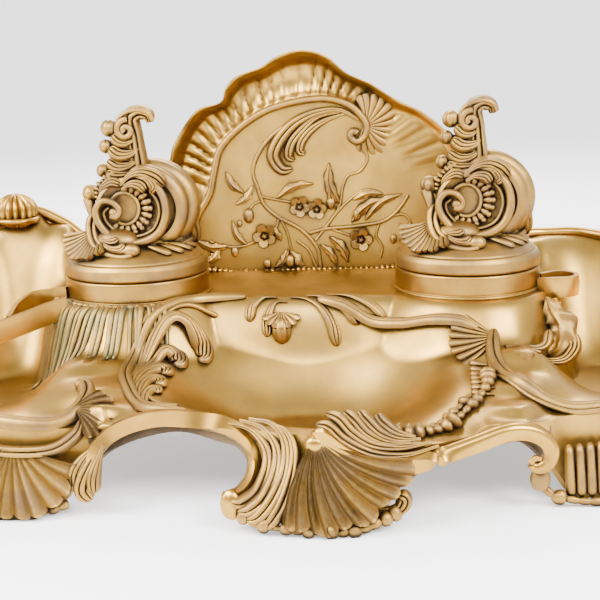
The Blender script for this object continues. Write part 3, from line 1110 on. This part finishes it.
def make_well(side):
    """The collar with its screws, the glass pot, and the cover: the same on both sides."""
    hand = "left" if side < 0 else "right"
    c = np.array([side * WELL_X, WELL_Y])
    ledge_z = PLATFORM_Z + 4.0
    r = COLLAR_R
    collar = turned(f"{hand}_collar_ring", rounded([
        [POT_R + 0.5, PLATFORM_Z - 4], [BORE_R - 0.2, PLATFORM_Z - 4], [BORE_R - 0.2, PLATFORM_Z + 0.1],
        [r + 0.6, PLATFORM_Z - 0.6], [r + 0.8, PLATFORM_Z + 0.8], [r - 0.2, PLATFORM_Z + 1.5],
        [r, PLATFORM_Z + 2.2], [r - 0.1, SEAM_Z - 1.1], [r - 0.6, SEAM_Z - 0.3], [MOUTH_R, SEAM_Z - 0.3],
        [MOUTH_R, ledge_z], [POT_R + 0.5, ledge_z]], 0.5), c, 160)
    finish(collar, TURNED, "stand", [f"{hand}_collar"], 40)

    screws = []
    for k in range(3):
        a = math.radians(30 + 120 * k)
        place = c + 32.5 * np.array([math.cos(a), math.sin(a)])
        head = [[0, PLATFORM_Z - 5.6], [1.2, PLATFORM_Z - 5.5], [2.2, PLATFORM_Z - 4.9],
                [2.2, PLATFORM_Z - 4.1], [1.4, PLATFORM_Z - 4.1], [1.4, PLATFORM_Z + 0.8],
                [0, PLATFORM_Z + 0.8]]
        screws.append(turned("screw", head, place, 24))
    screws = join(f"{hand}_ring_screws", screws)
    finish(screws, SCREW, "stand", [f"{hand}_collar_screws"], 40)

    lip = MOUTH_R - 0.4
    low = ledge_z + 3.0 - 44.0
    pot = turned(f"{hand}_glass_pot", rounded([
        [0, low], [POT_R - 2.5, low], [POT_R, low + 2.5], [POT_R, ledge_z], [lip, ledge_z],
        [lip, ledge_z + 3], [POT_R - 2.6, ledge_z + 3], [POT_R - 2.6, low + 5.6], [POT_R - 6, low + 2.6],
        [0, low + 2.6]], 0.9), c, 128)
    finish(pot, GLASS, f"{hand}_pot", [f"{hand}_ink_pot"], 50)

    top = SEAM_Z + 15
    lid = turned(f"{hand}_cover_ring", rounded([
        [MOUTH_R - 2.8, SEAM_Z - 4], [MOUTH_R - 0.3, SEAM_Z - 4], [MOUTH_R - 0.3, SEAM_Z + 0.1],
        [r - 0.6, SEAM_Z + 0.1], [r, SEAM_Z + 0.9], [r - 0.2, SEAM_Z + 5.2], [r - 1.4, SEAM_Z + 7.3],
        [r - 2.4, SEAM_Z + 7.4], [r - 3.0, SEAM_Z + 8.4], [r - 5.5, SEAM_Z + 10.4], [r - 10, SEAM_Z + 13],
        [r - 16, SEAM_Z + 14.6], [10, top], [0, top], [0, top - 2.5], [r - 17, top - 3],
        [r - 8.5, top - 6.5]], 0.7), c, 160)
    parts = [lid]

    def on_dome(angle, reach_r, lift=0.0):
        """A point on the cover's dome: angle about the well, distance from its axis."""
        t = np.clip(reach_r / (r - 2.6), 0, 1)
        return np.array([c[0] + reach_r * math.sin(angle), c[1] - reach_r * math.cos(angle),
                         SEAM_Z + 8 + 7 * math.sqrt(max(0.0, 1 - t**2)) + lift])

    hub = np.array([c[0] - 15.5, c[1] - 13.5, SEAM_Z + 24])
    parts.append(fan("cover_shell", hub, [-0.3, -0.55, -0.78], [-0.83, 0.55, 0],
                     (17, 18, 19, 20, 20, 19, 18), math.radians(112), 12, swirl=0.12, rib=1.3, cup=2.5,
                     scallop=0.06, start=math.radians(-48), thick=2.2, ragged=0.05))
    for k in range(5):
        a = math.radians(38 + 16 * k)
        parts.append(tongue("cover_wave", [on_dome(a - 0.45, 15, 2.0), on_dome(a - 0.15, 23, 1.8),
                                           on_dome(a + 0.1, 29.5, 0.4)], UP, 2.4, 1.6, reeds=2, steps=22))
    finish(join(f"{hand}_cover", parts), CHASED, f"{hand}_cover", [f"{hand}_lid"], 45)

    shaft = turned(f"{hand}_cover_screw", [[0, top - 5.6], [4.2, top - 5.4], [5, top - 4.8], [5, top - 2.7],
                                           [2.5, top - 2.7], [2.5, top + 8.5], [0, top + 8.5]], c, 32)
    finish(shaft, SCREW, f"{hand}_cover", [f"{hand}_finial_screw"], 40)
    make_finial(hand, c)


def make_finial(hand, c):
    """A cast volute with a beaded shell in its hollow, and a hooked acanthus stem with buds."""
    base = np.array([c[0], c[1], 0.0])

    def at(*points):
        return np.array([[c[0] + p[0], c[1] + p[1], p[2]] for p in points])

    parts = []
    # the drum of the volute: a shallow bowl facing the front, on a thick body
    drum = np.array([[0, -13.5], [9, -13.8], [13.5, -15.2], [16.2, -17.0], [17.6, -16.2], [17.8, -12],
                     [17.0, -4], [14.5, 2], [10, 6], [0, 7.5]])
    a = np.linspace(0, TAU, 97)[:, None]
    grid = np.stack([1.5 + np.cos(a) * drum[None, :, 0] * 0.98, drum[None, :, 1] + 0 * a,
                     111.6 + np.sin(a) * drum[None, :, 0] * 0.9], -1) + base
    parts.append(close_up(shaped_grid("volute_drum", grid)))
    # outer shoulders, each one further back and further round
    for dx, dy, dz, r, thick, w in ((5, -8, 111.5, 19.5, 4.2, 5.5), (8, 0, 112, 20.5, 4.6, 7)):
        ang = np.radians(np.linspace(118, -100, 40))
        path = at(*[(dx + math.cos(t) * r, dy, dz + math.sin(t) * r * 0.93) for t in ang])
        outward = path - at((dx, dy, dz))
        thin = 0.3 + 0.7 * taper(90, 0.2, 0.25)
        parts.append(swept("shoulder", path, outward, reeded_section(2, 0.8), w * thin, thick * thin,
                           steps=90))
    parts.append(turned_about_front("shoulder_body", 20.5, 11.5, base + np.array([7.5, 0, 112])))
    # the spiral bead, from the upper right round the bottom, and in over the top to the eye
    spiral = at((7, -16, 125), (12, -18, 124.5), (16.8, -19, 119.5), (18.3, -19.5, 110), (14.3, -20, 101),
                (4.5, -20, 96.6), (-5.5, -20, 98), (-12.5, -19.5, 104.5), (-15, -19, 111.5),
                (-12, -19, 116.5), (-7, -19, 116.2), (-3.6, -19, 112.5), (-5, -19, 109.2), (-8, -19, 109.6))
    n = 190
    s = np.linspace(0, 1, n)
    swell = 1.55 + 0.5 * np.sin(math.pi * np.clip(s * 1.2, 0, 1))
    parts.append(tube("spiral_bead", spiral, FRONT, swell, 12, n))
    inner = at((11, -16.5, 121), (14.4, -17, 116), (15, -17.2, 109.5), (11.6, -17.4, 102.5),
               (4, -17.4, 99.4), (-4.6, -17.4, 101), (-10, -17.2, 106), (-11.6, -17, 111), (-9, -17, 113.5))
    parts.append(tube("inner_bead", inner, FRONT, 0.9, 8, 120))
    parts.append(knob("volute_eye", at((-6.4, -18, 111))[0], 2.6, (1, 0.9, 1)))
    # the smooth hollow beside the eye, framed by a plain rim
    hollow = []
    for t in np.radians(np.linspace(150, -118, 30)):
        hollow.append((-1.8 + math.cos(t) * 6.8, -15.4, 112.6 + math.sin(t) * 7.6))
    parts.append(tube("hollow_rim", at(*hollow), FRONT, 1.0, 10, 100))
    # petals that radiate from the hollow to a beaded edge
    for k in range(13):
        t = math.radians(88 - 17.5 * k)
        u, v = math.cos(t), math.sin(t)
        petal = []
        for out, proud in ((6.6, 0.2), (9, 0.9), (11.6, 1.0)):
            petal.append((-1.2 + u * out, -14.4 - 1.6 * proud, 112.4 + v * out * 0.98))
        parts.append(tongue("petal", at(*petal), FRONT, 1.55, 1.5, reeds=1, steps=14))
        end = at((-1.2 + u * 12.0, -16.2, 112.4 + v * 11.8))[0]
        parts.append(knob("pearl", end, 1.35))
    # acanthus over the top of the drum
    for path, w in (
        (((-3, -17, 124), (2, -18, 128.5), (8, -18, 130), (14, -17, 127.5), (18, -15, 123)), 3.2),
        (((-2, -18.5, 122), (2, -19.5, 124.5), (6.5, -19.5, 124), (9, -19, 121)), 2.6),
        (((4, -18, 128), (10, -19.5, 127), (13, -19, 123), (11.5, -18.5, 120.5)), 2.3),
        (((-13, -15, 118), (-12, -16, 122.5), (-7, -16.5, 125.5), (-3, -16, 124)), 2.4),
    ):
        parts.append(tongue("top_leaf", at(*path), FRONT + UP * 0.3, w, w * 0.9, reeds=3, steps=40))
    # the scroll under the drum, ending in a bulb
    under = at((-16, -15, 111), (-17.6, -16.5, 104), (-16, -19.5, 98), (-11.5, -23, 94.5),
               (-5.5, -25.5, 92.8), (0, -26.5, 92.8), (3.6, -26, 94.8))
    parts.append(reeded_band("under_scroll", under, FRONT + UP * 0.2, 3.4, 3.4, reeds=2, start=0.12,
                             end=0.1, steps=100))
    parts.append(knob("under_bulb", at((2.2, -26.2, 94.2))[0], 3.6, (1.15, 0.8, 0.9)))
    parts.append(knob("under_web", at((-6, -17, 97))[0], 8.5, (1.3, 0.9, 0.75)))
    for path in (((-11, -24.5, 97.5), (-7, -26.5, 95.5), (-3, -27, 95.5), (-1, -26.5, 97.5)),
                 ((-13, -22.5, 100), (-10, -24, 98.6), (-6, -24.5, 98.6), (-4, -24, 100))):
        parts.append(tongue("under_lobe", at(*path), FRONT, 1.7, 1.8, reeds=2, steps=26))
    skirt = at((-15, -8, 96), (-8, -14, 92.5), (4, -16, 92.5), (15, -12, 94), (23, -3, 95.5), (27, 5, 97))
    parts.append(reeded_band("foot_moulding", skirt, FRONT + UP * 0.5, 4.6, 3.4, reeds=3, steps=80))
    parts.append(reeded_band("foot_sweep", at((27, -2, 107), (28.5, 0, 102), (29, 2, 97), (27, 4, 93)),
                             FRONT + RIGHT, 3.6, 3.4, reeds=2, steps=50))
    foot = rounded([[0, 94.2], [19, 94.2], [18, 96.5], [14, 99], [0, 101]], 0.8)
    parts.append(turned("finial_foot", foot, c + np.array([1.0, -2.0]), 64))
    # the stem, its hooked top and the leaf on it
    n = 90
    s = np.linspace(0, 1, n)
    stem = at((3, -6, 122), (4.6, -7, 131), (4.2, -7.5, 139), (3.6, -8, 146), (2.2, -8, 151),
              (2.6, -8, 155), (6.5, -8, 157.2), (10.6, -8, 155.6), (11.4, -8, 152.2))
    girth = np.interp(s, [0, 0.25, 0.5, 0.62, 0.78, 0.92, 1], [7.2, 4.6, 3.9, 4.6, 4.0, 3.2, 1.6])
    parts.append(swept("stem", stem, FRONT, reeded_section(3, 1.0), girth, girth, steps=n))
    parts.append(swept("stem_back", stem + np.array([0, 1.0, 0]), -FRONT, reeded_section(2, 1.0),
                       girth * 0.95, girth, steps=n))
    web = at((-1, -6.5, 122), (-0.5, -7, 130), (0, -7.5, 138), (-0.5, -8, 146), (1, -8, 153))
    broad = np.interp(s, [0, 0.5, 1], [8.5, 6.2, 5.0])
    deep = np.interp(s, [0, 0.5, 1], [5.0, 3.2, 2.6])
    parts.append(swept("stem_web", web, FRONT, round_section(12), broad, deep, steps=n))
    curl = volute(base + np.array([0.4, -12.4, 149]), [1, 0, 0], [0, 0, 1], 5.2, 1.2, 1.4, math.radians(80))
    parts.append(tube("stem_volute", curl, FRONT, 1.5, steps=80))
    parts.append(tube("hook_edge", at((-4, -10.5, 147), (-3.6, -10.5, 153), (0, -11, 157), (6, -11, 158.4),
                                      (11, -10.5, 156.8), (13, -10, 153.4)), FRONT, 1.2, steps=60))
    for path, w in (
        (((6.5, -9, 142), (2.5, -11.5, 138.5), (-3.5, -12, 137.8), (-8, -11, 141)), 3.2),
        (((5.5, -9, 137), (1.5, -11.5, 133), (-4.5, -11.5, 132), (-9.5, -10, 135)), 3.0),
        (((7, -9, 131), (2, -12, 128.5), (-5, -12.5, 127.5), (-10.5, -11, 129)), 3.0),
        (((5, -10, 146), (1, -12, 143.5), (-3, -12, 143.6), (-6.5, -11, 147)), 2.5),
    ):
        parts.append(tongue("stem_leaf", at(*path), FRONT + UP * 0.5, w, w * 0.85, reeds=3, steps=36))
    buds = (((-18.6, -9, 119.5), 4.3, (-9, -10, 114)), ((-12.2, -8, 130), 3.4, (-4, -8, 127)),
            ((-10.2, -8, 141.5), 3.4, (-2, -8, 140)), ((-8.2, -8, 150), 4.2, (0, -8, 149)))
    for place, r, root in buds:
        parts.append(knob("bud", at(place)[0], r, grooves=5, depth=0.16))
        halfway = ((place[0] + root[0]) / 2, place[1], (place[2] + root[2]) / 2)
        thin = np.linspace(r * 0.75, r * 0.45, 14)
        parts.append(tube("bud_stalk", at(root, halfway, place), FRONT, thin, steps=14))
    strut = at((-20, -9, 117), (-18.4, -11, 112), (-16.6, -13, 106), (-15.4, -14, 101))
    parts.append(swept("bud_bracket", strut, FRONT, round_section(12), np.linspace(3.0, 1.6, 30), steps=30))
    edge = at((-15, -12, 117), (-14, -12.5, 122), (-11, -12.5, 126), (-6, -12, 129.5))
    parts.append(lumpy_row("ragged_edge", edge, FRONT, 2.5, 8, seed=3))
    finial = join(f"{hand}_cover_finial", parts)
    finish(finial, CHASED, f"{hand}_cover", [f"{hand}_finial"], 50)


def turned_about_front(name, radius, half, centre):
    """A cushion-sided drum whose axis runs front to back."""
    b = np.linspace(0, math.pi, 25)[None]
    a = np.linspace(0, TAU, 97)[:, None]
    r = radius * np.sin(b)**0.35
    y = -half * np.cos(b) + 0 * a
    points = np.stack([np.cos(a) * r, y, np.sin(a) * r * 0.92], -1) + centre
    return close_up(shaped_grid(name, points))


def plate_screws():
    """Three brass screws that hold the plate, seen from behind."""
    heads = []
    for x in PLATE_SCREW_X:
        back = PLATE_FRONT_Y + 4 - x * x / (2 * PLATE_BEND_R)
        head, shank = (3.0, back + 0.1, back + 2.3), (1.5, back - 8, back + 0.4)
        for r, y0, y1 in (head, shank):
            pick()
            bpy.ops.mesh.primitive_cylinder_add(vertices=32, radius=r * MM, depth=(y1 - y0) * MM,
                                                location=(x * MM, (y0 + y1) / 2 * MM, PLATE_SCREW_Z * MM),
                                                rotation=(math.pi / 2, 0, 0))
            bpy.ops.object.transform_apply(location=True, rotation=True, scale=True)
            heads.append(bpy.context.object)
    finish(join("plate_fixing_screws", heads), SCREW, "stand", ["back_plate_screws"], 40)


# ---------------------------------------------------------------- desk, lights and camera


def softbox(name, place, aim, size, power, colour="#FFFFFF"):
    """A soft lamp at place, turned to aim, both in millimetres; size in metres, power in watts."""
    light = bpy.data.lights.new(name, "AREA")
    light.shape = "RECTANGLE"
    light.size, light.size_y = size
    light.energy = power
    light.color = linear(colour)[:3]
    holder = bpy.data.objects.new(name, light)
    bpy.context.scene.collection.objects.link(holder)
    place, aim = np.asarray(place, float), np.asarray(aim, float)
    holder.location = Vector(place * MM)
    holder.rotation_euler = Vector((aim - place) * MM).to_track_quat("-Z", "Y").to_euler()
    holder.visible_camera = False


def make_studio():
    """A sheet of white paper swept up behind the stand, a white room, and five soft lamps."""
    bend = np.radians(np.linspace(0, 90, 13))
    curve = np.column_stack([1500 + 700 * np.sin(bend), 700 * (1 - np.cos(bend))])
    profile = np.vstack([[(-3500, 0), (-1200, 0), (0, 0), (900, 0)], curve, [(2200, 3500)]])
    across = np.linspace(-4500, 4500, 13)
    points = np.zeros((len(profile), len(across), 3))
    points[..., 0] = across
    points[..., 1:] = profile[:, None]
    floor = shaped_grid("pale_paper_sweep", points)
    pick(floor)
    bpy.ops.object.shade_smooth_by_angle(angle=math.radians(60))
    material = bpy.data.materials.new("pale_paper")
    material.use_nodes = True
    paper = material.node_tree.nodes["Principled BSDF"].inputs
    paper["Base Color"].default_value = linear("#FCFCFC")
    paper["Roughness"].default_value = 0.9
    paper["Emission Color"].default_value = linear("#FFFFFF")
    paper["Emission Strength"].default_value = 0.55
    floor.data.materials.append(material)
    world = bpy.data.worlds.new("studio")
    bpy.context.scene.world = world
    world.use_nodes = True
    tree = world.node_tree
    tree.nodes.clear()
    # a white room whose front half is darker, so that the metal has something to mirror
    way = node(tree, "ShaderNodeTexCoord").outputs["Generated"]
    viewer = node(tree, "ShaderNodeVectorMath", {"operation": "DOT_PRODUCT", 1: (0.0, -0.8, 0.6)}, i0=way)
    dim = ramp(tree, viewer.outputs["Value"], [(0.1, 1.0), (0.85, 0.3)])
    level = node(tree, "ShaderNodeMath", {"operation": "MULTIPLY", 1: 2.4}, i0=dim).outputs[0]
    room = node(tree, "ShaderNodeBackground", {"Color": linear("#FBFAF8")}, Strength=level).outputs[0]
    out = node(tree, "ShaderNodeOutputWorld")
    tree.links.new(room, out.inputs["Surface"])
    middle = (0, 20, 60)
    softbox("left_softbox", (-700, -500, 800), middle, (0.5, 0.5), 30)
    softbox("right_softbox", (650, -600, 700), middle, (0.45, 0.45), 24)
    softbox("back_softbox", (0, 900, 900), middle, (0.9, 0.4), 24)
    softbox("front_softbox", (-30, -850, 780), middle, (0.5, 0.25), 9)
    softbox("low_left_softbox", (-1050, -260, 500), middle, (0.4, 0.5), 12)


def make_camera():
    """A short telephoto a little above the stand, turned slightly to its left."""
    camera = bpy.data.cameras.new("camera")
    camera.lens = 72
    camera.sensor_width = 36
    holder = bpy.data.objects.new("camera", camera)
    bpy.context.scene.collection.objects.link(holder)
    bpy.context.scene.camera = holder
    yaw, pitch, roll = -0.042104, 0.216450, -0.030234
    ahead = np.array([math.sin(yaw) * math.cos(pitch), math.cos(yaw) * math.cos(pitch), -math.sin(pitch)])
    level = np.array([math.cos(yaw), -math.sin(yaw), 0])
    lift = np.cross(level, ahead)
    side = math.cos(roll) * level + math.sin(roll) * lift
    top = math.cos(roll) * lift - math.sin(roll) * level
    turn = Matrix((side, top, -ahead)).transposed().to_4x4()
    turn.translation = np.array([23.1, -536.1, 189.9]) * MM
    holder.matrix_world = turn


make_back_plate()
make_tray()
make_well(-1)
make_well(1)
plate_screws()
make_studio()
make_camera()
